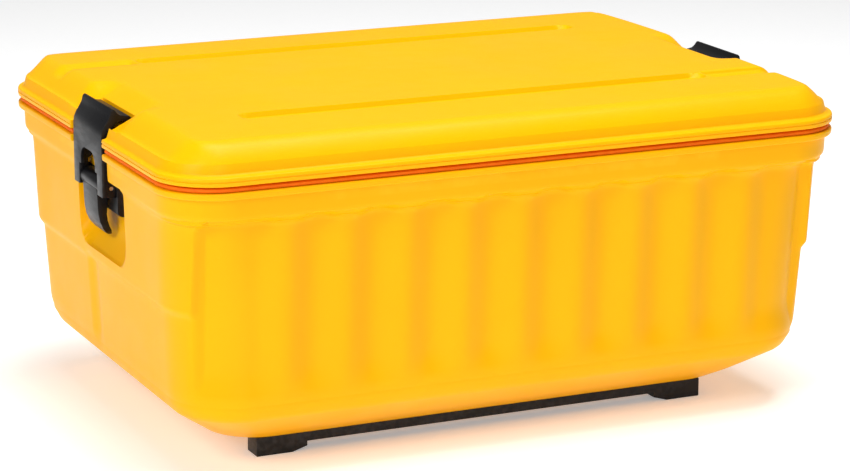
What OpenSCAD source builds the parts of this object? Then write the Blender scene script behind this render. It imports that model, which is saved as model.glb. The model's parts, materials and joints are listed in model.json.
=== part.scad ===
// Insulated toolbox with a lift-off lid, over-centre draw latches, skid runners and a lift-out tray.
// Millimetres, +Z up. The origin is on the floor under the middle of the box.
// +X runs along the long side, -Y is the front, and u means |x| measured outwards at either end.

/* [Box] */
// Length over the rim
box_l = 690; // [680:1:700]
// Width over the rim
box_w = 500; // [490:1:510]
// Height of the body's rim
rim_z = 277; // [277:0.5:279]
// Height of the closed lid
lid_top_z = 321; // [319:0.5:324]
// Wall thickness of the outer shells
wall_t = 4; // [3:0.5:4.5]
// Corner radius of the rim in plan
corner_r = 57; // [50:1:60]

/* [Interior] */
// Length of the opening
opening_l = 612; // [606:1:612]
// Width of the opening
opening_w = 422; // [416:1:422]
// Corner radius of the opening
opening_r = 30; // [24:1:34]
// Height of the ledge that carries the tray
ledge_z = 236; // [226:1:238]
// Width of the ledge
ledge_w = 11; // [9:0.5:12]
// Height of the inside floor
floor_z = 58; // [54:1:64]
// Wall thickness of the inner liner
liner_t = 3; // [2.5:0.5:3.5]

/* [Runners] */
// Length of each runner
runner_l = 469.4; // [440:0.1:472]
// Width of each runner
runner_w = 23.4; // [20:0.1:24]
// Distance of each runner's centre line from the middle of the box
runner_y = 145.8; // [140:0.1:147]
// Height of the feet under the body
runner_h = 18; // [16:0.5:18]
// Thickness of the bar between the feet
bar_t = 9; // [6:0.5:10]
// Length of the foot at each end of a runner
foot_l = 50.7; // [40:0.1:60]

/* [Lid] */
// Thickness of the rubber seal between the body and the lid
seal_t = 6; // [5:0.5:7]
// Height of the lid's flange
flange_t = 8; // [7:0.5:8]
// Width of the stacking grooves on the lid
groove_w = 26; // [25:0.5:28]
// Depth of the stacking grooves
groove_d = 4.5; // [3:0.5:5]
// Depth that the lid's liner hangs into the opening
plug_d = 15; // [10:1:15]

/* [Latches] */
// Offset of both latches from the middle of the ends, towards the back
latch_y = -10; // [-14:1:0]
// Width of the latch hook
hook_w = 82; // [80:1:83]
// Width of the slot between the hook's arms
slot_w = 52; // [52:1:54]
// Radius of the two pins that the lever turns on
lever_pin_r = 2.5; // [2:0.1:2.6]
// Radius of the pin that joins the hook to the lever
hook_pin_r = 2; // [1.8:0.1:2.2]
// Radial clearance of a pin in the piece that turns on it
pin_gap = 0.06; // [0.03:0.01:0.1]

/* [Tray] */
// Length over the tray's rim
tray_l = 606; // [600:1:606]
// Width over the tray's rim
tray_w = 416; // [410:1:416]
// Depth of the tray below its rim
tray_depth = 54; // [40:1:70]
// Wall thickness of the tray
tray_t = 2.5; // [2:0.5:3]
// Thickness of the tray's carrying handle
handle_t = 8; // [6:1:10]
// Thickness of the cross dividers
divider_t = 3; // [2:0.5:4]

/* [Hidden] */
$fn = 64;
hull_fn = 32;
eps = 0.1;
far = 420;
foam_gap = 0.3;
half_l = box_l / 2;
half_w = box_w / 2;

// Body outside: [height, half length, half width, corner radius] from the underside up to the band
body_levels = [
    [runner_h, half_l - 76, half_w - 90, 62],
    [30, half_l - 64.5, half_w - 70, 32],
    [58, half_l - 28.5, half_w - 30, 59],
    [77, half_l - 22, half_w - 21.3, 63],
    [242, half_l - 11.4, half_w - 10.8, 60]
];
band_z = 242;
bead_z = rim_z - 6.5;
band_in_l = 5;
band_in_w = 4.4;
ring_in = 9;

// Liner, from its floor up to the tray ledge
ledge_hx = opening_l / 2 - ledge_w;
ledge_hy = opening_w / 2 - ledge_w;
liner_levels = [
    [floor_z, ledge_hx - 15, ledge_hy - 15, 22],
    [floor_z + 9, ledge_hx - 8, ledge_hy - 8, 26],
    [ledge_z, ledge_hx, ledge_hy, 28]
];
liner_flange_t = 4;

// Lid outside, from its flange up to its top
lid_z = rim_z + seal_t;
flange_top_z = lid_z + flange_t;
lid_levels = [
    [flange_top_z, half_l - 4, half_w - 9, 55],
    [flange_top_z + 11, half_l - 8, half_w - 10, 54],
    [lid_top_z - 7.5, half_l - 19, half_w - 19, 50],
    [lid_top_z - 2.5, half_l - 31, half_w - 23, 44],
    [lid_top_z, half_l - 42, half_w - 25.5, 40]
];
groove_hx = runner_l / 2 + 7;
groove_y = 141.5;
plug_gap = 3;
plug_hx = opening_l / 2 - plug_gap;
plug_hy = opening_w / 2 - plug_gap;
seal_out = 2.5;
seal_hx = half_l - 29;
seal_hy = half_w - 29;
seal_gap = 0.3;

// Latch: pivots, and the pocket that holds it, as u outwards and z up.
// Across the box the layers are grip, lever ear, bracket lug and hook knuckle, each clear of the next.
lever_u = half_l - 10.5;
lever_z = 263;
hook_z = 242;
hook_hw = hook_w / 2;
slot_hw = slot_w / 2;
grip_hw = slot_hw - 0.5;
window_hw = 20.5;
window_r = 12;
window_z = 254.5;
ear_y0 = 26.8;
ear_y1 = 31;
lug_y0 = 31.6;
lug_y1 = 34.6;
wing_y1 = 38;
knuckle_y0 = 35.3;
ear_r = 5;
lever_knuckle_r = 8.5;
hook_knuckle_r = 9;
pocket_u = half_l - 27;
pocket_hw = 66;
pocket_shift = 11;
pocket_z = 184;
scoop_z = 169;
pocket_top_z = 250;
notch_hw = 46;
notch_u = half_l - 16;
ledge_latch_z = 301.6;
bracket_hw = 45.5;
bracket_z0 = 215;
bracket_z1 = 276;
bracket_face_u = half_l - 14.5;
wing_face_u = half_l - 15.6;
screw_r = 2;
screw_gap = 0.05;
head_r = 3.1;
head_t = 2.4;
// Bracket screws: [y, z, u of the face that they are sunk in]
bracket_screws_at = [[17, 224, bracket_face_u], [34.8, 272.3, wing_face_u]];

// Runner screws: [x, height under the head]
foot_screw_x = runner_l / 2 - foot_l / 2;
bar_screw_x = 70;
runner_screws_at = [[foot_screw_x, 11], [bar_screw_x, runner_h - bar_t + 3.2]];
runner_screw_len = 22;
runner_boss_r = 7;
bracket_screw_len = 14.5;

// The hook's plate and lip: [inwards from the rim, z], up the outside, over the ridge and down the inside
hook_profile = [
    [1.5, 234], [1.5, 291], [2.4, 296], [4.7, 301.2], [8.2, 306.5], [10.4, 311], [11.4, 315.2],
    [13, 316.8], [14.8, 316.4], [17.4, 313], [20.4, 310.8], [25, 310], [29.2, 309.6], [30.8, 308.2],
    [31, 303.2], [29.8, 302.2], [27.8, 302.3], [26, 304.4], [23, 305.4], [19.4, 305], [15.4, 302.4],
    [12, 298], [9.4, 291.5], [5, 283], [5, 234]
];
// The lever's claw in the same terms, down the outside to its tip and up the inside
claw_profile = [
    [10.5, 242], [2.8, 238], [3.4, 230], [3.6, 222], [4.1, 214], [5.6, 206], [8.4, 199.5], [12.6, 194],
    [17.4, 190.4], [19.1, 191.4], [17.8, 196], [15, 201], [13.1, 207], [12.4, 213], [13, 219.5],
    [13.6, 226], [13.8, 234]
];
claw_hw = 20;
claw_r = 14;
claw_z = 190.4;

// Tray
tray_hx = tray_l / 2;
tray_hy = tray_w / 2;
tray_rim_t = 5;
tub_hx = ledge_hx - 3;
tub_hy = ledge_hy - 3;
tub_taper = 7;
tray_z = ledge_z - tray_depth;
tray_floor_z = tray_z + tray_t;
divider_x = 95;
divider_h = 42;
handle_top_z = ledge_z + 24;
grip_hx = 55;
grip_hz = 8;
grip_z = ledge_z + 8;

yellow = "gold";
orange = "orangered";
black = "#1c1c1e";
steel = "silver";
pale = "cornsilk";
tray_grey = "#3a3d40";

// ---- shared shapes ----

// A rounded rectangle in plan, given by its half sizes
module plan(hx, hy, r, fn = $fn) {
    square([2 * (hx - r), 2 * hy], center = true);
    square([2 * hx, 2 * (hy - r)], center = true);
    for (sx = [-1, 1], sy = [-1, 1])
        translate([sx * (hx - r), sy * (hy - r)]) circle(r, $fn = fn);
}

// A slab of that plan from z up by h
module slab(z, h, hx, hy, r, fn = $fn) {
    translate([0, 0, z]) linear_extrude(h) plan(hx, hy, r, fn);
}

// A convex form through levels [z, half length, half width, corner radius]
module form(levels, fn = hull_fn) {
    last = len(levels) - 1;
    hull() for (i = [0 : last]) {
        v = levels[i];
        slab(i == 0 ? v[0] : v[0] - eps, eps, v[1], v[2], v[3], fn);
    }
}

// The same levels moved in by t, and by t * up in height
function inset(levels, t, up) = [for (v = levels) [v[0] + t * up, v[1] - t, v[2] - t, v[3] - t * 0.6]];

// A profile of u and z, extruded across the box from y0 to y1
module across(y0, y1) {
    translate([0, y1, 0]) rotate([90, 0, 0]) linear_extrude(y1 - y0) children();
}

// A right half outline closed by its mirror image on the left
function two_sided(points) = concat(
    points, [for (i = [len(points) - 1 : -1 : 0]) [-points[i][0], points[i][1]]]
);

// A profile given inwards from the rim, as u and z
function outline(points) = [for (p = points) [half_l - p[0], p[1]]];

// A pin along Y at (u, z)
module pin_y(u, z, r, y0, y1) {
    across(y0, y1) translate([u, z]) circle(r);
}

// A pin along X from u0 to u1 at (y, z)
module pin_x(u0, u1, y, z, r) {
    translate([u0, y, z]) rotate([0, 90, 0]) cylinder(h = u1 - u0, r = r);
}

// Both mirror-opposite places of something built on the +Y side
module both_y() {
    children();
    mirror([0, 1, 0]) children();
}

// Latch parts are built at the right end about y = 0, and then set at latch_y at either end
module right_end() { translate([0, latch_y, 0]) children(); }
module left_end() { translate([0, latch_y, 0]) rotate([0, 0, 180]) children(); }
module both_ends() {
    right_end() children();
    left_end() children();
}

// As built, and again after half a turn about Z
module both_turns() {
    children();
    rotate([0, 0, 180]) children();
}

// ---- body ----

module body_cavity(gap, top) {
    form(concat(inset(body_levels, wall_t + gap, 1)));
    slab(band_z + wall_t + gap - eps, top - band_z - wall_t - gap + eps,
         half_l - ring_in - gap, half_w - ring_in - gap, corner_r - wall_t);
}

// Solid block round the latch pocket, grown by g
module pocket_block(g) {
    translate([pocket_u - wall_t - g, pocket_shift - pocket_hw - wall_t - g, scoop_z - wall_t - g])
        cube([far - pocket_u, 2 * (pocket_hw + wall_t + g), rim_z - scoop_z + 30]);
}

// The space cut for the latch: a scooped pocket and a narrower notch through the rim
module pocket_cut() {
    across(pocket_shift - pocket_hw, pocket_shift + pocket_hw) polygon([
        [pocket_u, pocket_z + 14], [pocket_u, pocket_top_z], [far, pocket_top_z],
        [far, scoop_z], [half_l - 15, scoop_z], [pocket_u + 5, pocket_z]
    ]);
    across(-notch_hw, notch_hw) translate([notch_u, pocket_z + 20])
        square([far - notch_u, rim_z - pocket_z]);
    both_y() across(lug_y0 - seal_gap, wing_y1 + seal_gap) translate([pocket_u, pocket_z + 20])
        square([far - pocket_u, rim_z - pocket_z]);
}

// Places of the bracket screws, with the origin in the face that each is sunk in
module bracket_screw_places() {
    for (s = bracket_screws_at) both_y() translate([s[2], s[0], s[1]]) children();
}

module runner_screw_places() {
    for (s = runner_screws_at, sx = [-1, 1], sy = [-1, 1])
        translate([sx * s[0], sy * runner_y, s[1]]) children();
}

module shell_bosses(g) {
    for (s = runner_screws_at, sx = [-1, 1], sy = [-1, 1])
        translate([sx * s[0], sy * runner_y, runner_h + eps])
            cylinder(h = 20 + g, r = runner_boss_r + g);
}

module outer_shell() color(yellow) difference() {
    union() {
        form(body_levels);
        slab(band_z - eps, bead_z - band_z + eps, half_l - band_in_l, half_w - band_in_w, corner_r);
        slab(bead_z, rim_z - bead_z, half_l, half_w, corner_r);
    }
    difference() {
        body_cavity(0, rim_z + 1);
        both_ends() pocket_block(0);
        shell_bosses(0);
    }
    both_ends() pocket_cut();
    both_ends() bracket_screw_places() pin_x(-bracket_screw_len - 1, 0, 0, 0, screw_r + screw_gap);
    runner_screw_places() cylinder(h = runner_screw_len + 1, r = screw_r + screw_gap);
}

module liner_outside(g) {
    form(inset(liner_levels, -liner_t - g, 1));
    slab(ledge_z - liner_t - g, rim_z - ledge_z + liner_t + g + 2,
         opening_l / 2 + liner_t + g, opening_w / 2 + liner_t + g, opening_r + liner_t);
}

module inner_liner() color(yellow) difference() {
    union() {
        intersection() {
            liner_outside(0);
            slab(0, rim_z, half_l, half_w, corner_r);
        }
        slab(rim_z - liner_flange_t, liner_flange_t,
             half_l - ring_in - foam_gap, half_w - ring_in - foam_gap, corner_r - wall_t);
    }
    form(concat(liner_levels, [[ledge_z + 1, ledge_hx, ledge_hy, 28]]));
    slab(ledge_z, rim_z, opening_l / 2, opening_w / 2, opening_r);
    both_ends() pocket_block(foam_gap);
}

module body_foam() color(pale) difference() {
    body_cavity(foam_gap, rim_z - liner_flange_t - foam_gap);
    liner_outside(foam_gap);
    both_ends() pocket_block(foam_gap);
    shell_bosses(foam_gap);
}

// ---- runners ----

module runner(side) color(black) difference() {
    across(side * runner_y - runner_w / 2, side * runner_y + runner_w / 2) polygon(two_sided([
        [runner_l / 2, runner_h], [runner_l / 2, 0], [runner_l / 2 - foot_l * 0.7, 0],
        [runner_l / 2 - foot_l, bar_t / 2], [runner_l / 2 - foot_l, runner_h - bar_t]
    ]));
    runner_screw_places() {
        translate([0, 0, -eps]) cylinder(h = runner_h, r = screw_r + screw_gap);
        translate([0, 0, -runner_h]) cylinder(h = runner_h, r = head_r + 0.2);
    }
}

module front_runner() runner(-1);
module rear_runner() runner(1);

module runner_screws() color(steel) runner_screw_places() {
    translate([0, 0, -eps]) cylinder(h = runner_screw_len + eps, r = screw_r);
    translate([0, 0, -head_t]) cylinder(h = head_t, r = head_r);
}

// ---- latches, built at the right end ----

module bracket() color(black) difference() {
    union() {
        across(-bracket_hw, bracket_hw) {
            translate([pocket_u, bracket_z0 + 6])
                square([bracket_face_u - pocket_u, pocket_top_z - seal_gap - bracket_z0 - 6]);
            translate([pocket_u, bracket_z0]) square([bracket_face_u - pocket_u - 6, 12]);
            translate([bracket_face_u - 6, bracket_z0 + 6]) circle(6);
        }
        both_y() across(lug_y0, wing_y1) translate([pocket_u, pocket_top_z - 20])
            square([wing_face_u - pocket_u, bracket_z1 - pocket_top_z + 20]);
        both_y() across(lug_y0, lug_y1) {
            translate([wing_face_u - 2, lever_z - ear_r]) square([lever_u - wing_face_u + 2, 2 * ear_r]);
            translate([lever_u, lever_z]) circle(ear_r);
        }
    }
    pin_y(lever_u, hook_z, hook_knuckle_r + 1, -hook_hw - 1.5, hook_hw + 1.5);
    both_y() pin_y(lever_u, lever_z, lever_pin_r + 0.03, lug_y0 - eps, lug_y1 + eps);
    bracket_screw_places() {
        pin_x(pocket_u - half_l, 0, 0, 0, screw_r + screw_gap);
        pin_x(-head_t, 5, 0, 0, head_r + 0.2);
    }
}

module bracket_screws() color(steel) bracket_screw_places() {
    pin_x(-bracket_screw_len, -head_t + eps, 0, 0, screw_r);
    pin_x(-head_t, -eps, 0, 0, head_r);
}

module lever_pins() color(steel) both_y() pin_y(lever_u, lever_z, lever_pin_r, ear_y0, lug_y1);

// The lever: ears on its own pins, a knuckle on the hook's pin, and the curved grip below
module lever() color(black) difference() {
    union() {
        pin_y(lever_u, hook_z, lever_knuckle_r, -grip_hw, grip_hw);
        pin_y(lever_u, hook_z, ear_r, -ear_y1, ear_y1);
        both_y() {
            pin_y(lever_u, lever_z, ear_r, ear_y0, ear_y1);
            across(ear_y0, ear_y1) translate([lever_u - 0.5, hook_z])
                square([ear_r + 0.5, lever_z - hook_z]);
        }
        intersection() {
            across(-claw_hw, claw_hw) polygon(outline(claw_profile));
            rotate([90, 0, 90]) linear_extrude(far) {
                translate([-claw_hw, claw_z + claw_r]) square([2 * claw_hw, 50]);
                translate([claw_r - claw_hw, claw_z]) square([2 * (claw_hw - claw_r), 50]);
                for (sy = [-1, 1]) translate([sy * (claw_hw - claw_r), claw_z + claw_r]) circle(claw_r);
            }
        }
    }
    pin_y(lever_u, hook_z, hook_pin_r + 0.03, -ear_y1 - 1, ear_y1 + 1);
    both_y() pin_y(lever_u, lever_z, lever_pin_r + pin_gap, ear_y0 - 1, ear_y1 + 1);
}

module hook_pin() color(steel) pin_y(lever_u, hook_z, hook_pin_r, -hook_hw + 1, hook_hw - 1);

// The hook: two arms on the hook pin, a plate over the rim, and a lip on top of the lid
module hook() color(black) difference() {
    union() {
        across(-hook_hw, hook_hw) polygon(outline(hook_profile));
        both_y() {
            across(knuckle_y0, hook_hw) translate([half_l - 12.5, hook_z])
                square([8, 292 - hook_z]);
            pin_y(lever_u, hook_z, hook_knuckle_r, knuckle_y0, hook_hw);
        }
    }
    translate([half_l - 32, 0, 0]) rotate([90, 0, 90]) linear_extrude(40) {
        translate([-slot_hw, 220]) square([slot_w, window_z - 220]);
        translate([-window_hw, 220]) square([2 * window_hw, 40]);
        translate([window_r - window_hw, 220]) square([2 * (window_hw - window_r), 40 + window_r]);
        for (sy = [-1, 1]) translate([sy * (window_hw - window_r), 260]) circle(window_r);
    }
    pin_y(lever_u, hook_z, hook_pin_r + pin_gap, -hook_hw - 1, hook_hw + 1);
}

// ---- lid ----

// A stacking groove with round ends on the front half, grown by g, running out to the right end
module groove(z, h, g) {
    translate([0, -groove_y, z]) linear_extrude(h) {
        square([2 * (groove_hx - groove_w / 2), groove_w + 2 * g], center = true);
        for (sx = [-1, 1]) translate([sx * (groove_hx - groove_w / 2), 0]) circle(groove_w / 2 + g);
    }
    translate([groove_hx - groove_w, -groove_y - groove_w / 2 - g, z + 0.5])
        cube([far - groove_hx, groove_w + 2 * g, h]);
}

// The valley and ledge that the hook's lip rests in
module latch_valley() {
    across(-56, 56) polygon([
        [half_l - 58, lid_top_z + 0.5], [half_l - 32, lid_top_z - 15.5], [far, 290], [far, 340],
        [half_l - 58, 340]
    ]);
    across(-notch_hw, notch_hw) polygon([
        [half_l - 33, ledge_latch_z], [half_l - 20, ledge_latch_z], [notch_u, ledge_latch_z - 4],
        [notch_u, rim_z - 1], [far, rim_z - 1], [far, 340], [half_l - 33, 340]
    ]);
}

module latch_valley_block(g) {
    across(-60 - g, 60 + g) polygon([
        [half_l - 65 - g, 340], [half_l - 65 - g, lid_top_z - 2], [half_l - 36 - g, 300.7],
        [half_l - 36 - g, 297.6 - g], [half_l - 23 - g, 297.6 - g], [half_l - 20 - g, 294.6 - g],
        [half_l - 20 - g, rim_z], [far, rim_z], [far, 340]
    ]);
}

module lid_cavity(gap) {
    difference() {
        union() {
            form(inset(lid_levels, wall_t + gap, -1));
            slab(lid_z - 1, flange_t - 3, half_l - 8 - gap, half_w - 12 - gap, corner_r - 8);
        }
        both_ends() latch_valley_block(gap);
        both_turns() groove(lid_top_z - groove_d - wall_t - gap, 20, wall_t + gap);
    }
}

module lid_shell() color(yellow) difference() {
    union() {
        slab(lid_z, flange_t, half_l, half_w, corner_r);
        form(lid_levels);
    }
    lid_cavity(0);
    both_turns() groove(lid_top_z - groove_d, 20, 0);
    both_ends() latch_valley();
}

module lid_liner() color(yellow) difference() {
    union() {
        slab(lid_z, liner_t, half_l - 8 - foam_gap, half_w - 12 - foam_gap, corner_r - 8);
        slab(rim_z - plug_d, plug_d + seal_t + eps, plug_hx, plug_hy, opening_r - plug_gap);
    }
    slab(rim_z - plug_d + liner_t, 60, plug_hx - liner_t, plug_hy - liner_t, opening_r - 6);
    both_ends() latch_valley_block(foam_gap);
}

module lid_foam() color(pale) {
    intersection() {
        lid_cavity(foam_gap);
        slab(lid_z + liner_t + foam_gap, 60, half_l, half_w, corner_r);
    }
    slab(rim_z - plug_d + liner_t + foam_gap, plug_d + seal_t + eps,
         plug_hx - liner_t - foam_gap, plug_hy - liner_t - foam_gap, opening_r - 7);
}

module lid_seal() color(orange) difference() {
    slab(rim_z + seal_gap, seal_t - seal_gap, half_l - seal_out, half_w - seal_out, corner_r - seal_out);
    slab(rim_z - 1, 20, seal_hx, seal_hy, opening_r + 6);
    both_ends() translate([notch_u, -notch_hw, rim_z - 1]) cube([far, 2 * notch_hw, 20]);
}

// ---- tray ----

tub_levels = [
    [tray_z, tub_hx - tub_taper - 5, tub_hy - tub_taper - 5, 20],
    [tray_z + 6, tub_hx - tub_taper, tub_hy - tub_taper, 24],
    [ledge_z + tray_rim_t, tub_hx, tub_hy, 26]
];

module tray_body() color(tray_grey) difference() {
    union() {
        form(tub_levels);
        slab(ledge_z, tray_rim_t, tray_hx, tray_hy, opening_r - 3);
    }
    form([
        [tray_floor_z, tub_hx - tub_taper - 7.5, tub_hy - tub_taper - 7.5, 18],
        [tray_z + 8, tub_hx - tub_taper - tray_t, tub_hy - tub_taper - tray_t, 21.5],
        [ledge_z + tray_rim_t + 1, tub_hx - tray_t, tub_hy - tray_t, 23.5]
    ]);
}

// Side of an upright panel that follows the tray's sloping wall, up to the height top
function panel_side(h, top) = [
    [h - tub_taper - 8.5, tray_floor_z + 0.2],
    [h - tub_taper - 3.2, tray_z + 9],
    [h - 5.4, top]
];

module tray_handle() color(black) difference() {
    across(-handle_t / 2, handle_t / 2) polygon(two_sided(concat(
        panel_side(tub_hx, tray_floor_z + divider_h),
        [[grip_hx + 45, tray_floor_z + divider_h], [grip_hx + 18, handle_top_z - 5],
         [grip_hx + 8, handle_top_z]]
    )));
    across(-handle_t, handle_t) {
        translate([-grip_hx + grip_hz, grip_z - grip_hz]) square([2 * (grip_hx - grip_hz), 2 * grip_hz]);
        for (sx = [-1, 1]) translate([sx * (grip_hx - grip_hz), grip_z]) circle(grip_hz);
    }
}

module tray_dividers() color(tray_grey) for (sx = [-1, 1]) both_y()
    translate([sx * divider_x - divider_t / 2, 0, 0]) rotate([90, 0, 90]) linear_extrude(divider_t)
        polygon(concat(
            [[handle_t / 2 + 0.3, tray_floor_z + 0.2]],
            panel_side(tub_hy, tray_floor_z + divider_h),
            [[handle_t / 2 + 0.3, tray_floor_z + divider_h]]
        ));

outer_shell();
inner_liner();
body_foam();
front_runner();
rear_runner();
runner_screws();
left_end() bracket();  // bracket_left
right_end() bracket();  // bracket_right
left_end() bracket_screws();  // bracket_screws_left
right_end() bracket_screws();  // bracket_screws_right
left_end() lever_pins();  // lever_pins_left
right_end() lever_pins();  // lever_pins_right
left_end() lever();  // lever_left
right_end() lever();  // lever_right
left_end() hook_pin();  // hook_pin_left
right_end() hook_pin();  // hook_pin_right
left_end() hook();  // hook_left
right_end() hook();  // hook_right
lid_shell();
lid_liner();
lid_foam();
lid_seal();
tray_body();
tray_handle();
tray_dividers();
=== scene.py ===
import json
import math

import bmesh
import bpy
import numpy as np
from mathutils import Matrix, Vector


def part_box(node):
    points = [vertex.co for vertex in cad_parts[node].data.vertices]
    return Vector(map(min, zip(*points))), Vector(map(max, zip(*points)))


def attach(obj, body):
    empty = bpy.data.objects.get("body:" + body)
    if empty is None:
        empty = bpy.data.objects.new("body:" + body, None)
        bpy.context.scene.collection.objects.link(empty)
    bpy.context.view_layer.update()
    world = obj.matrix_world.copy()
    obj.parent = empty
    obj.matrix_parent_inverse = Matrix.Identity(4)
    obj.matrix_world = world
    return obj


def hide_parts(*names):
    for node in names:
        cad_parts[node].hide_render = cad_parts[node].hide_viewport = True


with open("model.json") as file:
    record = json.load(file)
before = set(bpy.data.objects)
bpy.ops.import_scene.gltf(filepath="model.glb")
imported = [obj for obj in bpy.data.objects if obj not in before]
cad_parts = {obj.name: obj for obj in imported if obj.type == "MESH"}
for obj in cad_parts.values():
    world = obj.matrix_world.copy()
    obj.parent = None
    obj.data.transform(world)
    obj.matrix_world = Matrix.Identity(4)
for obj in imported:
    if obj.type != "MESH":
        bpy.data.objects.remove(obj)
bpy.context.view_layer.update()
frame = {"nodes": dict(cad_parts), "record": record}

# Looks of the insulated toolbox with tray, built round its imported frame. The scene is in metres. Shapes
# are worked out in millimetres and scaled when their mesh is made. In formulas u = |x|, and v = |y| or the
# distance from the latch's middle. The knots that rings are made from are (z, half length, half width,
# corner radius).
MM = 0.001
NO_LIMIT = 1e3


def node_mm(node):
    low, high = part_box(node)
    return np.array(low) / MM, np.array(high) / MM


# ---- driving sizes, from the frame ----

HALF_L, HALF_W, RIM_Z = node_mm("outer_shell")[1]
FOOT_Z = node_mm("outer_shell")[0][2]
LID_Z = node_mm("lid_shell")[0][2]
TOP_Z = node_mm("lid_shell")[1][2]
TRAY_LOW, TRAY_HIGH = node_mm("tray_body")
LEDGE_Z = TRAY_HIGH[2] - 5
LATCH_Y = (node_mm("hook_left")[0][1] + node_mm("hook_left")[1][1]) / 2

# ---- sizes that the frame doesn't give; HW is half a width, HX half a length, U a place along u ----

FLOOR_Z = 58
RIM_R = 57
# how thick the skins are, and how far in from the outside the foam starts
SKIN = 4
FOAM_IN = 5
# the latch: a notch in the rim band and the lid, slots for the bracket's arms, and the pocket below
NOTCH_HW = 46
NOTCH_SLOPE = 1.4
NOTCH_U = HALF_L - 16
ARM_SLOT = (31.1, 38.2)
POCKET_U = HALF_L - 27
POCKET_WALL_U = HALF_L - 13.4
POCKET_HW = 66
POCKET_CORNER = 26
POCKET_SHIFT = 11
POCKET_TOP = 250
POCKET_LOW = 171
# the flutes of the long sides, which run from FLUTE_LOW up to arched ends, and the hollow of each end
FLUTE_LOW = 66
FLUTE_ARCH = 248
FLUTE_PITCH = 58.6
FLUTE_DEPTH = 7.6
FLUTE_RUN = 4.5 * FLUTE_PITCH
END_FLUTE_Y = 28
END_FLUTE_HW = 18
END_FLUTE_DEPTH = 3.0
END_HW = 112
# the thicker upper part of the ends and corners
SHOULDER_X = HALF_L - 31
SHOULDER_LOW = 153
SHOULDER_OUT = 4.4
# it fades out between these heights, below the rim band
FADE_LOW = 238
FADE_HIGH = 251
# the lid's stacking grooves
GROOVE_Y = 141.5
GROOVE_HW = 13
GROOVE_HX = 241.7
GROOVE_DEPTH = 4.6
RUN_OUT_DEPTH = 4.0
RUN_OUT_END = 318

# ---- how finely a mesh is cleaned and shaded ----

MERGE = 1e-6
CAD_MERGE = 2e-6
FLAT_DEG = 1.0
EDGE_DEG = 32
SHARP_DEG = 40
CAD_SHARP_DEG = 35


# ---- curves and outlines ----

def ease(t):
    t = np.clip(t, 0, 1)
    return t * t * (3 - 2 * t)


def rounded_path(knots, reach, steps=4):
    """The polyline through knots, with each inner corner turned into a short curve of that reach."""
    knots = [np.array(k, float) for k in knots]
    out = [knots[0]]
    for before, here, after in zip(knots, knots[1:], knots[2:]):
        back, ahead = before - here, after - here
        a = here + back * min(reach / np.linalg.norm(back), 0.45)
        b = here + ahead * min(reach / np.linalg.norm(ahead), 0.45)
        for t in np.linspace(0, 1, steps + 1):
            out.append(a * (1 - t) ** 2 + here * 2 * t * (1 - t) + b * t * t)
    out.append(knots[-1])
    return np.array(out)


def stretch(half, fixed, free):
    """Positions from -half to half on one straight side: the fixed ones, and free more out to each end."""
    t = np.linspace(0, 1, free + 1)[1:]
    low = fixed[0] - (half + fixed[0]) * t
    return np.concatenate([low[::-1], fixed, fixed[-1] + (half - fixed[-1]) * t])


def lines(half, pitch, fine):
    """Even positions from -half to half, giving way to fine ones where these are near."""
    coarse = np.arange(-half, half + pitch / 2, pitch)
    fine = np.array(sorted(fine))
    away = np.abs(coarse[:, None] - fine[None, :]).min(axis=1) > pitch * 0.3
    return np.array(sorted(np.concatenate([coarse[away], fine])))


def both(values, middle=0.0):
    return [middle + s * v for v in values for s in (-1, 1)]


class Columns:
    """The places round a rounded rectangle that every ring of one surface shares."""

    def __init__(self, end_fixed, side_fixed, arc, end_free, side_free):
        self.end_fixed, self.side_fixed = np.array(end_fixed), np.array(side_fixed)
        self.arc = np.array(arc)
        self.end_free, self.side_free = end_free, side_free

    def outline(self, hx, hy, r):
        """Points and outward normals, anticlockwise from the low end of the right side."""
        y_line = stretch(hy - r, self.end_fixed, self.end_free)
        x_line = stretch(hx - r, self.side_fixed, self.side_free)
        cx, cy, a = hx - r, hy - r, self.arc
        quarter = [(cx + r * math.cos(t), cy + r * math.sin(t), math.cos(t), math.sin(t)) for t in a]
        points = [(hx, y, 1, 0) for y in y_line]
        points += quarter
        points += [(x, hy, 0, 1) for x in x_line[::-1]]
        points += [(-x, y, -nx, ny) for x, y, nx, ny in quarter[::-1]]
        points += [(-hx, y, -1, 0) for y in y_line[::-1]]
        points += [(-x, -y, -nx, -ny) for x, y, nx, ny in quarter]
        points += [(x, -hy, 0, -1) for x in x_line]
        points += [(x, -y, nx, -ny) for x, y, nx, ny in quarter[::-1]]
        points = np.array(points)
        return points[:, :2], points[:, 2:]


def loft(rings, closed=False):
    """Faces between rings of the same number of points, with flat caps or joined end to end."""
    n = len(rings[0])
    verts = np.concatenate(rings)
    faces = []
    for k in range(len(rings) if closed else len(rings) - 1):
        a, b = k * n, (k + 1) % len(rings) * n
        for i in range(n):
            j = (i + 1) % n
            faces.append((a + i, a + j, b + j, b + i))
    if not closed:
        faces.append(tuple(range(n))[::-1])
        faces.append(tuple(range((len(rings) - 1) * n, len(rings) * n)))
    return verts, faces


def add_object(name, data):
    made = bpy.data.objects.new(name, data)
    bpy.context.scene.collection.objects.link(made)
    return made


def add_piece(name, verts, faces, body, node, material):
    """A smooth-shaded mesh from points in millimetres, tied to its body, which hides the CAD node it stands
    for.
    """
    mesh = bpy.data.meshes.new(name)
    mesh.from_pydata((np.asarray(verts) * MM).tolist(), [], faces)
    work = bmesh.new()
    work.from_mesh(mesh)
    bmesh.ops.remove_doubles(work, verts=work.verts, dist=MERGE)
    bmesh.ops.recalc_face_normals(work, faces=work.faces)
    work.to_mesh(mesh)
    work.free()
    finish_piece(add_object(name, mesh), body, node, material)


def shade(mesh, material, sharp_deg):
    mesh.materials.clear()
    mesh.materials.append(material)
    mesh.shade_smooth()
    mesh.set_sharp_from_angle(angle=math.radians(sharp_deg))


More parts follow.
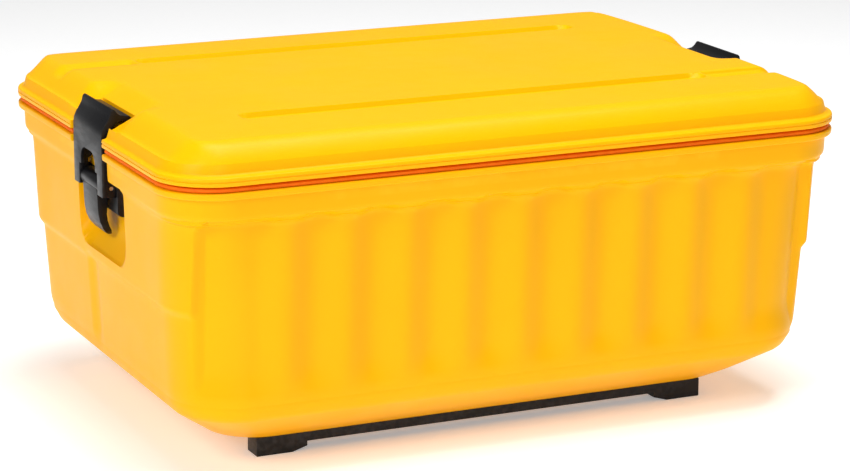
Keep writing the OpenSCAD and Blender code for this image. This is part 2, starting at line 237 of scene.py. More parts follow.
def finish_piece(piece, body, node, material):
    shade(piece.data, material, SHARP_DEG)
    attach(piece, body)
    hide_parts(node)


# ---- materials ----

class Nodes:
    """A short way to write a node material."""

    def __init__(self, name):
        self.material = bpy.data.materials.new(name)
        self.material.use_nodes = True
        self.tree = self.material.node_tree
        self.shader = self.tree.nodes["Principled BSDF"]
        coords = self.tree.nodes.new("ShaderNodeTexCoord")
        self.place = coords.outputs["Object"]

    def new(self, kind, **inputs):
        node = self.tree.nodes.new(kind)
        for key, value in inputs.items():
            self.put(node.inputs[key.replace("_", " ")], value)
        return node

    def put(self, socket, value):
        if isinstance(value, bpy.types.NodeSocket):
            self.tree.links.new(value, socket)
        else:
            socket.default_value = value

    def noise(self, scale, detail=2.0, roughness=0.5, stretch=None):
        place = self.place
        if stretch:
            place = self.new("ShaderNodeMapping", Vector=self.place, Scale=stretch).outputs[0]
        return self.new("ShaderNodeTexNoise", Vector=place, Scale=scale, Detail=detail,
                        Roughness=roughness).outputs["Fac"]

    def edge(self, low, high):
        """Rises from 0 to 1 on convex edges, where a part is rubbed."""
        geometry = self.tree.nodes.new("ShaderNodeNewGeometry")
        return self.ramp(geometry.outputs["Pointiness"], low, high)

    def ramp(self, value, low, high, to_low=0.0, to_high=1.0):
        node = self.new("ShaderNodeMapRange", Value=value)
        for key, number in (("From Min", low), ("From Max", high), ("To Min", to_low), ("To Max", to_high)):
            node.inputs[key].default_value = number
        return node.outputs["Result"]

    def mix(self, factor, a, b):
        node = self.tree.nodes.new("ShaderNodeMix")
        node.data_type = "RGBA"
        for socket, value in ((node.inputs[0], factor), (node.inputs[6], a), (node.inputs[7], b)):
            self.put(socket, value)
        return node.outputs[2]

    def math(self, operation, a, b):
        node = self.tree.nodes.new("ShaderNodeMath")
        node.operation = operation
        self.put(node.inputs[0], a)
        self.put(node.inputs[1], b)
        return node.outputs[0]

    def bump(self, height, strength, distance, normal=None):
        node = self.new("ShaderNodeBump", Height=height, Strength=strength, Distance=distance)
        if normal is not None:
            self.put(node.inputs["Normal"], normal)
        return node.outputs["Normal"]

    def set(self, **inputs):
        for key, value in inputs.items():
            self.put(self.shader.inputs[key.replace("_", " ")], value)
        return self.material


def rgb(r, g, b):
    return (r, g, b, 1.0)


def yellow_plastic(name, main, deep, pale, gloss=0.0):
    """Moulded polyethylene: cloudy colour, a fine peel, soft waves, and paler rubbed edges."""
    n = Nodes(name)
    clouds = n.noise(7.0, detail=3.0)
    specks = n.noise(420.0)
    peel = n.noise(1500.0, roughness=0.55)
    waves = n.noise(26.0)
    base = n.mix(n.ramp(clouds, 0.35, 0.68), main, deep)
    base = n.mix(n.ramp(specks, 0.62, 0.8, 0.0, 0.18), base, pale)
    worn = n.math("MULTIPLY", n.edge(0.52, 0.6), n.ramp(n.noise(55.0, detail=4.0), 0.42, 0.62, 0.1, 0.55))
    base = n.mix(worn, base, pale)
    rough = n.math("ADD", n.ramp(n.noise(14.0, detail=4.0), 0.3, 0.7, 0.34 - gloss, 0.44 - gloss),
                   n.ramp(peel, 0.3, 0.7, -0.03, 0.03))
    normal = n.bump(waves, strength=0.25, distance=0.0006)
    normal = n.bump(peel, strength=0.35, distance=0.00009, normal=normal)
    return n.set(Base_Color=base, Roughness=rough, Normal=normal, Specular_IOR_Level=0.1,
                 Subsurface_Weight=0.12, Subsurface_Radius=(0.012, 0.006, 0.001), Subsurface_Scale=0.3)


def black_plastic(name, main, pale, rough_low, rough_high):
    """Glass-filled nylon: fine spark texture, faint flow marks and scuffed edges."""
    n = Nodes(name)
    spark = n.noise(2600.0, roughness=0.6)
    flow = n.noise(60.0, detail=3.0, stretch=(1.0, 1.0, 4.0))
    worn = n.math("MULTIPLY", n.edge(0.53, 0.63), n.ramp(n.noise(180.0, detail=4.0), 0.4, 0.65, 0.1, 0.7))
    base = n.mix(n.ramp(flow, 0.3, 0.7, 0.0, 0.35), main, pale)
    base = n.mix(worn, base, rgb(0.035, 0.035, 0.037))
    rough = n.math("ADD", n.ramp(flow, 0.3, 0.7, rough_low, rough_high),
                   n.ramp(spark, 0.3, 0.7, -0.04, 0.04))
    return n.set(Base_Color=base, Roughness=rough, Normal=n.bump(spark, strength=0.3, distance=0.00004),
                 Specular_IOR_Level=0.22)


def seal_rubber():
    """Soft silicone-like rubber with a dusty bloom."""
    n = Nodes("seal_rubber")
    bloom = n.noise(90.0, detail=4.0, roughness=0.6)
    grain = n.noise(2200.0)
    base = n.mix(n.ramp(bloom, 0.35, 0.7), rgb(0.82, 0.14, 0.0), rgb(0.87, 0.175, 0.002))
    return n.set(Base_Color=base, Roughness=n.ramp(bloom, 0.3, 0.7, 0.5, 0.68),
                 Normal=n.bump(grain, strength=0.3, distance=0.00005), Specular_IOR_Level=0.15,
                 Subsurface_Weight=0.1, Subsurface_Radius=(0.008, 0.002, 0.0005), Subsurface_Scale=0.2)


def steel():
    """Zinc-plated steel with turning marks and a faint tarnish."""
    n = Nodes("steel")
    marks = n.noise(700.0, detail=3.0, stretch=(6.0, 1.0, 1.0))
    tarnish = n.noise(160.0, detail=4.0)
    base = n.mix(n.ramp(tarnish, 0.4, 0.7), rgb(0.62, 0.62, 0.63), rgb(0.47, 0.46, 0.43))
    return n.set(Base_Color=base, Metallic=1.0, Roughness=n.ramp(marks, 0.3, 0.7, 0.24, 0.42),
                 Normal=n.bump(marks, strength=0.25, distance=0.00004))


def foam():
    """Rigid cellular foam."""
    n = Nodes("foam")
    cells = n.new("ShaderNodeTexVoronoi", Vector=n.place, Scale=520.0).outputs["Distance"]
    base = n.mix(n.ramp(n.noise(30.0, detail=3.0), 0.3, 0.7), rgb(0.86, 0.78, 0.52), rgb(0.93, 0.87, 0.66))
    return n.set(Base_Color=base, Roughness=n.ramp(cells, 0.0, 0.8, 0.8, 0.95),
                 Normal=n.bump(cells, strength=0.6, distance=0.0006))


YELLOW = yellow_plastic("yellow_shell", main=rgb(0.95, 0.455, 0.0), deep=rgb(0.94, 0.44, 0.0),
                        pale=rgb(0.96, 0.52, 0.01))
LINER = yellow_plastic("yellow_liner", main=rgb(0.95, 0.47, 0.0), deep=rgb(0.94, 0.45, 0.0),
                       pale=rgb(0.96, 0.53, 0.01), gloss=0.04)
LATCH = black_plastic("latch_black", main=rgb(0.004, 0.004, 0.005), pale=rgb(0.007, 0.007, 0.008),
                      rough_low=0.3, rough_high=0.4)
BLACK = black_plastic("black_plastic", main=rgb(0.005, 0.005, 0.006), pale=rgb(0.008, 0.008, 0.009),
                      rough_low=0.4, rough_high=0.5)
TRAY = black_plastic("tray_plastic", main=rgb(0.035, 0.038, 0.042), pale=rgb(0.05, 0.054, 0.06),
                     rough_low=0.42, rough_high=0.55)
RUBBER = seal_rubber()
STEEL = steel()
FOAM = foam()


# ---- body: one surface of rings from the underside, over the rim and down inside ----

NOTCH_EDGE = [44, 45.1, 45.7, 46.3, 46.9, 48]
POCKET_EDGE = [POCKET_HW + v for v in (-3, -1.8, -1, -0.3, 0.5, 1.5, 3, 4.1)]
END_LINES = lines(110, 3.5, both([30.8, 31.4, 34, 37.6, 38.4] + NOTCH_EDGE, LATCH_Y)
                  + both(POCKET_EDGE, LATCH_Y - POCKET_SHIFT) + both(POCKET_EDGE, LATCH_Y + POCKET_SHIFT))
SIDE_LINES = FLUTE_PITCH / 16 * np.arange(-53, 54)
BODY_ARC = np.radians(sorted(set(np.arange(4, 89, 4)) | set(np.arange(36, 64, 1.25))))
BODY = Columns(END_LINES, SIDE_LINES, BODY_ARC, 16, 14)


def flute_depth(x, z):
    """How far the long sides lie in from the wall: nine soft crests, then a flat run before each corner."""
    wave = (1 - np.cos(2 * math.pi * x / FLUTE_PITCH)) / 2
    wave = np.where(np.abs(x) > FLUTE_RUN, 1, wave)
    wave = wave * (1 - ease((np.abs(x) - (SHOULDER_X - 6)) / 8))
    arch = FLUTE_ARCH - 12 * (1 - wave)
    return FLUTE_DEPTH * wave * ease((z - FLUTE_LOW) / 40) * (1 - ease((z - arch) / 7))


def shoulder_out(x, z):
    """The upper part of the ends and corners stands out, half as far at the rim band as at its foot."""
    taper = 1 - (z - 165) / 75 * 0.5
    return SHOULDER_OUT * taper * ease((np.abs(x) - SHOULDER_X + 2) / 4) * ease((z - SHOULDER_LOW) / 10)


def end_flute(y, z):
    """One soft upright hollow on each end, beside the pocket."""
    across = ease(1 - np.abs(y - END_FLUTE_Y) / END_FLUTE_HW)
    return END_FLUTE_DEPTH * across * ease((z - FLUTE_LOW) / 20) * (1 - ease((z - 150) / 20))


def pocket_side(x, y):
    """Distance from the middle of the pocket, which is not the latch's own middle."""
    return np.abs(y - LATCH_Y - np.sign(x) * POCKET_SHIFT)


def beside_notch(v):
    """0 within the latch's notch, 1 beside it."""
    return ease((v - NOTCH_HW + NOTCH_SLOPE / 2) / NOTCH_SLOPE)


def notch_limit(v):
    """The furthest u that the lid and the seal may reach at the latch."""
    return NOTCH_U + 30 * beside_notch(v)


def pocket_limit(x, y, z):
    """The furthest u that the outside of the body may reach at the latch."""
    v = np.abs(y - LATCH_Y)
    side = pocket_side(x, y)
    over = np.clip(side - (POCKET_HW - POCKET_CORNER), 0, POCKET_CORNER)
    low = POCKET_LOW + POCKET_CORNER - np.sqrt(POCKET_CORNER ** 2 - over ** 2)
    within = 1 - ease((side - POCKET_HW + 2.4) / 2.6)
    depth = within * np.sin(np.clip((z - low) / 29, 0, 1) * math.pi / 2)
    pocket = np.where(depth < 1e-4, NO_LIMIT, POCKET_WALL_U - (POCKET_WALL_U - POCKET_U) * depth)
    notch = np.where((v > ARM_SLOT[0]) & (v < ARM_SLOT[1]), POCKET_U, notch_limit(v))
    notch = np.where(v > NOTCH_HW + 0.8, NO_LIMIT, notch)
    return np.where(z < POCKET_TOP, pocket, notch)


def on_end(n):
    """Where the normals n point straight out of an end."""
    return np.abs(n[:, 0]) > 0.999


def ring_points(xy, u, z):
    """The ring through xy with |x| changed to u, at the height z or at a height for each point."""
    return np.column_stack([np.sign(xy[:, 0]) * u, xy[:, 1], np.broadcast_to(z, len(u))])


def body_ring(z, hx, hy, r, wall_limit=None):
    """One ring of the body's walls. For inner rings, wall_limit is the limit of u behind the latch."""
    xy, n = BODY.outline(hx, hy, r)
    x, y = xy[:, 0], xy[:, 1]
    near_latch = on_end(n) & (np.abs(y) < END_HW)
    if z < FADE_HIGH:
        fade = 1 - ease((z - FADE_LOW) / (FADE_HIGH - FADE_LOW))
        out = shoulder_out(x, z) * fade - np.where(np.abs(n[:, 1]) > 0.3, flute_depth(x, z), 0)
        out = out - np.where(near_latch, end_flute(y, z), 0)
        xy = xy + n * out[:, None]
    u = np.abs(xy[:, 0])
    if wall_limit is None:
        limit = pocket_limit(x, y, z)
    else:
        behind = (pocket_side(x, y) < POCKET_HW + 3.9) & (z > POCKET_LOW - 8)
        limit = np.where(behind, wall_limit, NO_LIMIT)
    return ring_points(xy, np.where(near_latch, np.minimum(u, limit), u), z)


WALL_LEVELS = (242, 236, 228, 200, 168, 163, 158, 152, 130, 107, 99, 91, 83, 75, 67)


def wall_rows(high, levels, inwards=0):
    """Knots at those levels of the outer wall, moved that far inwards."""
    return [(z,) + tuple(np.interp(z, high[:, 0], high[:, c]) - inwards for c in (1, 2, 3)) for z in levels]


def fine_levels(high):
    """Every level of the wall's own knots, even ones between, and close ones where a feature starts."""
    levels = set(np.round(high[:, 0], 2)) | set(np.arange(69, 249, 3.0))
    levels |= {154.5, 157.5, 160.5, 163.5, 170.0, 172.0, 249.2, 249.85, 250.15, 250.8}
    levels = np.array(sorted(levels))
    return levels[np.concatenate([[True], np.diff(levels) > 0.25])]


def build_body():
    wall = rounded_path([
        (FOOT_Z, 250, 146, 44), (FOOT_Z, 266, 159, 48), (31, 282, 181, 46), (57, 317, 219.5, 56),
        (77, 324.5, 229, 63), (153, 328.5, 232.9, 63), (243.5, 333.4, 237.8, 61),
        (250.6, 339.6, 245.2, 58), (255, 340, 245.6, 57), (270.3, 340.2, 245.8, 57)
    ], 7, 6)
    high = wall[wall[:, 0] >= FLUTE_LOW]
    rim = rounded_path([
        (270.5, 340.4, 246, RIM_R), (270.7, HALF_L - 0.3, HALF_W - 0.3, RIM_R),
        (RIM_Z, HALF_L, HALF_W, RIM_R), (RIM_Z, HALF_L - 6, HALF_W - 6, 55)
    ], 2.2, 5)
    outside = list(wall[wall[:, 0] < FLUTE_LOW]) + wall_rows(high, fine_levels(high)) + list(rim)
    inner = [(RIM_Z, 338, 243, 54), (RIM_Z - 0.5, 336.3, 241.3, 53), (RIM_Z - 2, 336, 241, 53),
             (246, 336, 241, 53), (245, 335, 240, 53)]
    inner += wall_rows(high, WALL_LEVELS, SKIN)
    inner += [(58, 312.5, 215.5, 54), (34, 280, 179, 44), (FOOT_Z + SKIN, 258, 153, 44)]
    verts, faces = loft([body_ring(*k) for k in outside] + [body_ring(*k, POCKET_U - SKIN) for k in inner])
    add_piece("body_shell", verts, faces, "tub", "outer_shell", YELLOW)
    build_filling(high)


def build_filling(high):
    """The foam between the skins, up the outer wall and down the inner one."""
    outer = [(FOOT_Z + FOAM_IN, 240, 140, 38), (FOOT_Z + FOAM_IN, 256, 151, 43), (35, 278, 177, 43),
             (59, 311, 214, 53)]
    outer += wall_rows(high, WALL_LEVELS[::-1], FOAM_IN)
    outer += [(247, 335, 240, 53), (RIM_Z - FOAM_IN, 335, 240, 53), (RIM_Z - FOAM_IN, 311, 216, 33)]
    inner = [(LEDGE_Z - SKIN, 311, 216, 33), (LEDGE_Z - SKIN, 300, 205, 32), (69, 292, 197, 30),
             (FLOOR_Z - SKIN, 282, 187, 27), (FLOOR_Z - SKIN, 270, 175, 22)]
    verts, faces = loft([body_ring(*k, POCKET_U - FOAM_IN) for k in outer] + simple_rings(inner))
    add_piece("body_filling", verts, faces, "tub", "body_foam", FOAM)


def simple_rings(knots, clip=None):
    """Plain rings with the body's columns. clip gives the furthest u on the two ends."""
    rings = []
    for z, hx, hy, r in knots:
        xy, n = BODY.outline(hx, hy, r)
        u = np.abs(xy[:, 0])
        if clip is not None:
            u = np.where(on_end(n), np.minimum(u, clip(xy[:, 0], xy[:, 1], z)), u)
        rings.append(ring_points(xy, u, z))
    return rings


def build_liner():
    knots = [(FLOOR_Z, 268, 173, 20)]
    knots += list(rounded_path([
        (FLOOR_Z, 272, 177, 21), (FLOOR_Z, 284, 189, 25), (FLOOR_Z + 14, 289, 194, 27), (234.5, 295, 200, 28),
        (LEDGE_Z, 296, 201, 28), (LEDGE_Z, 306, 211, 30), (RIM_Z - 1, 306, 211, 30), (RIM_Z, 308, 213, 31),
        (RIM_Z, 335.4, 240.4, 53), (RIM_Z - 4, 335.4, 240.4, 53), (RIM_Z - 4, 309.5, 214.5, 32),
        (LEDGE_Z - 3, 309, 214, 32), (LEDGE_Z - 3, 298, 203, 30), (70, 290, 195, 28),
        (FLOOR_Z - 3, 280, 185, 25)
    ], 2.5, 3))
    knots += [(FLOOR_Z - 3, 270, 175, 20)]

    def clip(x, y, z):
        behind = (pocket_side(x, y) < POCKET_HW + 4.3) & (z > 240)
        return np.where(behind, POCKET_U - 4.4, NO_LIMIT)

    verts, faces = loft(simple_rings(knots, clip))
    add_piece("liner", verts, faces, "tub", "inner_liner", LINER)


def build_seal():
    low, high = RIM_Z + 0.35, LID_Z - 0.05
    knots = rounded_path([
        (low, 317, 222, 37), (low, 341.6, 246.6, 54), (low + 1.4, 342.5, 247.5, 55),
        (low + 3.5, 342, 247, 55), (low + 4.1, 338.5, 243.5, 53), (high, 338.5, 243.5, 53),
        (high, 317, 222, 37)
    ], 0.8, 3)

    def clip(x, y, z):
        return notch_limit(np.abs(y - LATCH_Y))

    verts, faces = loft(simple_rings(knots, clip), closed=True)
    add_piece("seal", verts, faces, "lid", "lid_seal", RUBBER)


# ---- lid: a height field on a grid that ends in the rings of its edge ----

TOP_HX, TOP_HY, TOP_R = HALF_L - 8, HALF_W - 9.5, 50
BEHIND_NOTCH_HW = 50
NOTCH_FALL = 0.27
GROOVE_EDGE_Y = [127, 128, 128.7, 129.6, 131, 133, 150, 152, 153.4, 154.3, 155, 156, 158, 161]
GROOVE_EDGE_X = [226, 230, 233, 235.5, 237.5, 239, 240.3, 241.2, 242.2, 243.5, 246, 250, 255]
LID_END = lines(170, 4, both([43, 44.2] + NOTCH_EDGE[1:], LATCH_Y) + both(GROOVE_EDGE_Y))
LID_SIDE = lines(278, 6, both(GROOVE_EDGE_X))
LID_ARC_X = [289, 291, 293.5, 296, 299, 302, 305, 308, 310.6, 311.7, 312.3, 313.4, 316, 319, 322, 324.4,
             325.2, 326, 328, 330, 332, 333.6, 335, 336, 336.7]
LID_ARC = np.arccos((np.array(LID_ARC_X) - (TOP_HX - TOP_R)) / TOP_R)[::-1]
LID = Columns(LID_END, LID_SIDE, LID_ARC, 8, 3)


def inside_distance(x, y, hx, hy, r):
    """Distance inwards from a rounded rectangle, below zero outside it."""
    qx, qy = np.abs(x) - (hx - r), np.abs(y) - (hy - r)
    outer = np.hypot(np.maximum(qx, 0), np.maximum(qy, 0)) + np.minimum(np.maximum(qx, qy), 0)
    return r - outer


def bevel_height(x, y, u, v):
    """The crowned top and the bevel round it, whose upper edge is softer on the ends than on the sides."""
    d_in = np.maximum(-inside_distance(x, y, HALF_L - 36, HALF_W - 23, 16), 0)
    d_out = np.maximum(inside_distance(x, y, HALF_L - 12, TOP_HY - 1, TOP_R - 8), 0)
    t = d_in / (d_in + d_out + 1e-9)
    start = 0.2 + 0.3 * ease((u - v - 75) / 50)
    bevel = np.where(t < start, t * t / (2 * start), t - start / 2) / (1 - start / 2)
    crown = 3.0 * np.minimum(v / (HALF_W - 21), 1) ** 3
    return TOP_Z - crown - (19.2 - crown) * bevel


def sink_groove(x, y, u, v, z):
    """A stacking groove, and its shallower run out to one end: front at the right, rear at the left."""
    gx = np.maximum(u - (GROOVE_HX - GROOVE_HW), 0)
    gap = np.abs(v - GROOVE_Y)
    groove = GROOVE_HW - np.hypot(gx, gap)
    z = z - GROOVE_DEPTH * ease(groove / 2.6) - 0.5 * ease(groove / GROOVE_HW)
    run = (x * y < 0) & (u > GROOVE_HX - GROOVE_HW)
    across = np.where(v < GROOVE_Y, ease((v - (GROOVE_Y - 14.5)) / 3.5), 1 - ease((v - GROOVE_Y + 2) / 20))
    along = ease((u - GROOVE_HX - 1) / 3.0) * (1 - ease((u - RUN_OUT_END) / 6))
    return z - np.where(run, RUN_OUT_DEPTH * across * along, 0)


def sink_valley(u, v, z):
    """The valley that the hook comes through, with a soft upper edge, and the ledge that its lip holds."""
    floor = TOP_Z + 0.4 - 0.5 * (u - (HALF_L - 58))
    soft = 2.5
    sunk = np.clip(z - floor, 0, None)
    sunk = np.where(sunk < soft, sunk * sunk / (2 * soft), sunk - soft / 2)
    z = z - sunk * (1 - ease((v - NOTCH_HW) / 28))
    ledge = 301.6 - np.clip(u - (HALF_L - 20), 0, 4)
    inside = ease((u - HALF_L + 33.3) / 0.9) * (1 - ease((v - 44.4) / 1.6))
    return z - np.clip(z - ledge, 0, None) * inside


def lid_height(x, y):
    u, v = np.abs(x), np.abs(y)
    z = sink_groove(x, y, u, v, bevel_height(x, y, u, v))
    return sink_valley(u, np.abs(y - LATCH_Y), z)


def squeeze_end(u, start, limit, full):
    """Moves the last stretch of the grid in, so that it ends at the latch notch."""
    return np.where(u > start, start + (limit - start) * (u - start) / (full - start), u)


def lid_sheets():
    """The top and the underside below it as grids of points, each row reaching to the edge of the lid."""
    arc = LID.arc
    cx, cy = TOP_HX - TOP_R, TOP_HY - TOP_R
    middle = stretch(cx, LID.side_fixed, LID.side_free)
    arc_x = np.append(cx + TOP_R * np.cos(arc[::-1]), TOP_HX)
    arc_y = np.append(cy + TOP_R * np.sin(arc[::-1]), cy)
    x_line = np.concatenate([-arc_x[::-1], middle, arc_x])
    edge = np.concatenate([arc_y[::-1], np.full(len(middle), TOP_HY), arc_y])
    y = np.array([stretch(y_edge, LID.end_fixed, LID.end_free) for y_edge in edge])
    x = np.repeat(x_line[:, None], y.shape[1], axis=1)
    v = np.abs(y - LATCH_Y)
    limit = np.minimum(notch_limit(v), TOP_HX)
    u = squeeze_end(np.abs(x), HALF_L - 19, limit, TOP_HX)
    top = np.stack([np.sign(x) * u, y, lid_height(np.sign(x) * u, y)], axis=-1)
    inner_limit = np.where(v < BEHIND_NOTCH_HW, NOTCH_U - SKIN, TOP_HX - 5)
    inner_u = squeeze_end(np.abs(x) * (TOP_HX - 5) / TOP_HX, HALF_L - 26, inner_limit, TOP_HX - 5)
    under = np.stack([np.sign(x) * inner_u, y * (TOP_HY - 5) / TOP_HY, top[..., 2] - 4.2], axis=-1)
    return top, under


def lid_rings():
    """The lid's side from the top's edge down, with a bead, and back up inside."""
    side = rounded_path([
        (300.8, TOP_HX + 0.5, TOP_HY + 0.3, 50), (292.6, 340, 241.6, 51), (291.2, 342, 244.5, 53),
        (291, HALF_L - 0.4, HALF_W - 0.6, RIM_R), (289, HALF_L, HALF_W, RIM_R)
    ], 1.4, 4)
    bead = [(288.0, HALF_L, HALF_W, RIM_R), (287.5, HALF_L - 0.7, HALF_W - 0.7, 56.5),
            (286.9, HALF_L - 0.7, HALF_W - 0.7, 56.5), (286.4, HALF_L, HALF_W, RIM_R)]
    foot = rounded_path([
        (285.8, HALF_L, HALF_W, RIM_R), (LID_Z, HALF_L - 0.2, HALF_W - 0.2, RIM_R), (LID_Z, 338, 239.5, 50)
    ], 1.5, 4)
    outer = list(side) + bead + list(foot)
    inner = [(LID_Z + 0.6, 336.8, 237.8, 49), (288, 336, 237, 49), (293, 334, 236.5, 48)]
    rings = []
    for k, (z, hx, hy, r) in enumerate(outer + inner):
        xy, n = LID.outline(hx, hy, r)
        u, v = np.abs(xy[:, 0]), np.abs(xy[:, 1] - LATCH_Y)
        cut = notch_limit(v) if k < len(outer) else np.where(v < BEHIND_NOTCH_HW, NOTCH_U - SKIN, NO_LIMIT)
        lowered = z - (z - LID_Z) * NOTCH_FALL * (1 - beside_notch(v))
        u = np.where(on_end(n), np.minimum(u, cut), u)
        rings.append(ring_points(xy, u, np.where(on_end(n), lowered, z)))
    return rings


def build_lid():
    top, under = lid_sheets()
    rings = lid_rings()
    nx, ny = top.shape[:2]
    loop = [(nx - 1, j) for j in range(ny)] + [(i, ny - 1) for i in range(nx - 2, -1, -1)]
    loop += [(0, j) for j in range(ny - 2, -1, -1)] + [(i, 0) for i in range(1, nx - 1)]
    verts = np.concatenate([top.reshape(-1, 3)] + rings + [under.reshape(-1, 3)])
    n_loop, n_top = len(loop), nx * ny
    rows = [[i * ny + j for i, j in loop]]
    rows += [list(range(n_top + k * n_loop, n_top + (k + 1) * n_loop)) for k in range(len(rings))]
    under_start = n_top + len(rings) * n_loop
    rows += [[under_start + i * ny + j for i, j in loop]]
    faces = []
    for i in range(nx - 1):
        for j in range(ny - 1):
            a, b, c, d = i * ny + j, (i + 1) * ny + j, (i + 1) * ny + j + 1, i * ny + j + 1
            faces.append((a, b, c, d))
            faces.append((under_start + d, under_start + c, under_start + b, under_start + a))
    for upper, lower in zip(rows, rows[1:]):
        for i in range(n_loop):
            j = (i + 1) % n_loop
            faces.append((upper[i], lower[i], lower[j], upper[j]))
    add_piece("lid_top", verts, faces, "lid", "lid_shell", YELLOW)


def build_lid_liner():
    low = RIM_Z - 15
    knots = [(low + 3, 246, 152, 20)]
    knots += list(rounded_path([
        (low + 3, 250, 156, 22), (low + 3, 258, 164, 26), (low, 262, 168, 28), (low, 300.5, 205.5, 26),
        (low + 3, 303, 208, 27), (LID_Z, 303, 208, 27), (LID_Z, 336.6, 237.6, 48),
        (LID_Z + 3, 336.6, 237.6, 48), (LID_Z + 3, 300, 205, 24), (low + 6, 300, 205, 24)
    ], 1.8, 3))
    knots += [(low + 6, 260, 166, 20)]

    def clip(x, y, z):
        behind = (np.abs(y - LATCH_Y) < 60.3) & (z > 275)
        return np.where(behind, NOTCH_U - 4.6, NO_LIMIT)

    verts, faces = loft(simple_rings(knots, clip))
    add_piece("lid_inner", verts, faces, "lid", "lid_liner", LINER)


def build_tray():
    hx, hy = TRAY_HIGH[0], TRAY_HIGH[1]
    low, top = TRAY_LOW[2], TRAY_HIGH[2]
    knots = [(low + 2.5, hx - 33, hy - 33, 16)]
    knots += list(rounded_path([
        (low + 2.5, hx - 30, hy - 30, 17), (low + 2.5, hx - 22.5, hy - 22.5, 20),
        (low + 9, hx - 20.5, hy - 20.5, 21.5), (top - 1, hx - 13.6, hy - 13.6, 23.5),
        (top, hx - 12, hy - 12, 24.5), (top, hx - 0.8, hy - 0.8, 27), (top - 1.5, hx, hy, 27),
        (top - 5, hx, hy, 27), (top - 5, hx - 9.5, hy - 9.5, 26), (top - 6.5, hx - 11, hy - 11, 26),
        (low + 8, hx - 17.7, hy - 17.7, 24), (low, hx - 21.5, hy - 21.5, 21)
    ], 2.2, 4))
    knots += [(low, hx - 31, hy - 31, 17)]
    verts, faces = loft(simple_rings(knots))
    add_piece("tray_tub", verts, faces, "tray", "tray_body", TRAY)


# ---- small moulded parts: the CAD shape with its edges rounded ----

def soften(node, body, material, width):
    """A copy of a CAD node's shape with flat faces joined and edges rounded to that width in millimetres."""
    mesh = frame["nodes"][node].data.copy()
    mesh.name = node + "_moulded"
    piece = add_object(node + "_moulded", mesh)
    work = bmesh.new()
    work.from_mesh(mesh)
    bmesh.ops.remove_doubles(work, verts=work.verts, dist=CAD_MERGE)
    bmesh.ops.dissolve_limit(work, angle_limit=math.radians(FLAT_DEG), verts=work.verts, edges=work.edges)
    work.to_mesh(mesh)
    work.free()
    bevel = piece.modifiers.new("edges", "BEVEL")
    bevel.width = width * MM
    bevel.segments = 3
    bevel.limit_method = "ANGLE"
    bevel.angle_limit = math.radians(EDGE_DEG)
    bevel.use_clamp_overlap = True
    depsgraph = bpy.context.evaluated_depsgraph_get()
    made = bpy.data.meshes.new_from_object(piece.evaluated_get(depsgraph))
    piece.modifiers.clear()
    piece.data = made
    finish_piece(piece, body, node, material)
    return piece


def build_small_parts():
    for side in ("left", "right"):
        bracket = soften(f"bracket_{side}", "tub", BLACK, 0.5)
        bracket.data.materials.append(YELLOW)
        for face in bracket.data.polygons:  # its arms above the pocket are yellow
            face.material_index = int(face.center.z > POCKET_TOP * MM)
        soften(f"lever_{side}", f"lever_{side}_body", LATCH, 0.9)
        soften(f"hook_{side}", f"hook_{side}_body", LATCH, 0.9)
    for node in ("front_runner", "rear_runner"):
        soften(node, "tub", BLACK, 1.2)
    soften("tray_handle", "tray", BLACK, 1.2)
    soften("tray_dividers", "tray", TRAY, 0.6)


def dress_frame():
    """The CAD nodes that stay as they are get their real materials. The lever pins are shown black."""
    finishes = {"steel": STEEL, "foam": FOAM}
    slots = {row["node"]: row["material_slot"] for row in frame["record"]["subparts"]}
    for node, piece in frame["nodes"].items():
        if slots.get(node) in finishes:
            shade(piece.data, BLACK if "lever_pins" in node else finishes[slots[node]], CAD_SHARP_DEG)


# ---- stage, light and camera ----

FLOOR_HALF = 14.0
EYE = (-1.2039, -2.6413, 0.8943)
EYE_FORWARD = (0.40409, 0.88044, -0.24806)
EYE_ROLL_DEG = 0.2
LENS_MM = 127.8


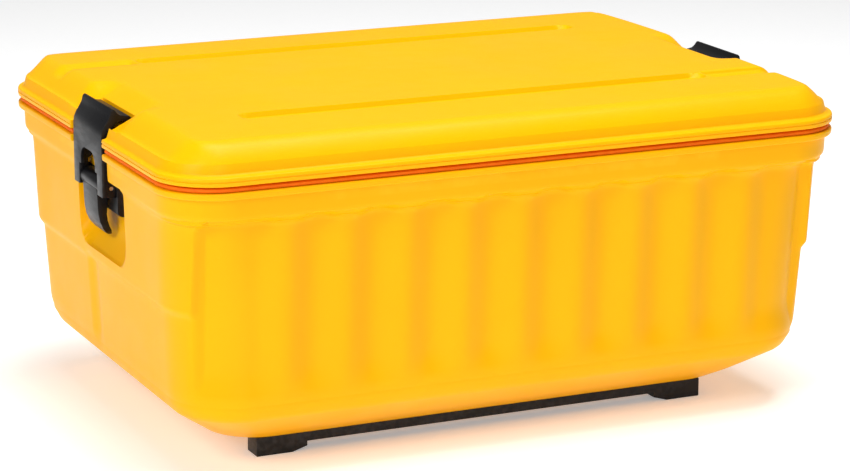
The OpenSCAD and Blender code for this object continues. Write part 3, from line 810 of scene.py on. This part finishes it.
def add_stage():
    mesh = bpy.data.meshes.new("floor")
    corners = [(sx * FLOOR_HALF, sy * FLOOR_HALF, 0) for sx, sy in ((-1, -1), (1, -1), (1, 1), (-1, 1))]
    mesh.from_pydata(corners, [], [(0, 1, 2, 3)])
    floor = add_object("floor", mesh)
    n = Nodes("floor_paint")
    grain = n.noise(60.0, detail=3.0)
    paint = n.mix(n.ramp(grain, 0.3, 0.7), rgb(0.9, 0.9, 0.9), rgb(0.92, 0.92, 0.92))
    floor.data.materials.append(n.set(Base_Color=paint, Roughness=0.8, Specular_IOR_Level=0.2,
                                      Emission_Color=rgb(1, 1, 1), Emission_Strength=0.3))


def add_area(name, place, target, size, power):
    light = bpy.data.lights.new(name, "AREA")
    light.shape = "RECTANGLE"
    light.size, light.size_y = size
    light.energy = power
    lamp = add_object(name, light)
    lamp.location = place
    lamp.rotation_euler = (Vector(target) - Vector(place)).to_track_quat("-Z", "Y").to_euler()


def add_lights():
    add_area("key", place=(-2.5, -1.5, 1.9), target=(0, 0, 0.15), size=(1.1, 1.1), power=47)
    add_area("front", place=(-0.6, -3.4, 1.1), target=(0, 0, 0.15), size=(1.6, 1.0), power=15)
    add_area("top", place=(0.2, -0.2, 3.0), target=(0, 0, 0.2), size=(2.0, 1.6), power=92)
    world = bpy.data.worlds.new("studio")
    world.use_nodes = True
    background = world.node_tree.nodes["Background"]
    background.inputs["Color"].default_value = rgb(1.0, 1.0, 1.0)
    background.inputs["Strength"].default_value = 0.2
    bpy.context.scene.world = world


def add_camera():
    camera = bpy.data.cameras.new("camera")
    camera.sensor_width = 36.0
    camera.lens = LENS_MM
    eye = add_object("camera", camera)
    eye.location = EYE
    turn = Vector(EYE_FORWARD).to_track_quat("-Z", "Y").to_matrix().to_4x4()
    roll = Matrix.Rotation(math.radians(EYE_ROLL_DEG), 4, "Z")
    eye.rotation_euler = (turn @ roll).to_euler()
    bpy.context.scene.camera = eye
    bpy.context.scene.view_settings.view_transform = "Standard"


build_body()
build_liner()
build_seal()
build_lid()
build_lid_liner()
build_tray()
build_small_parts()
dress_frame()
add_stage()
add_lights()
add_camera()
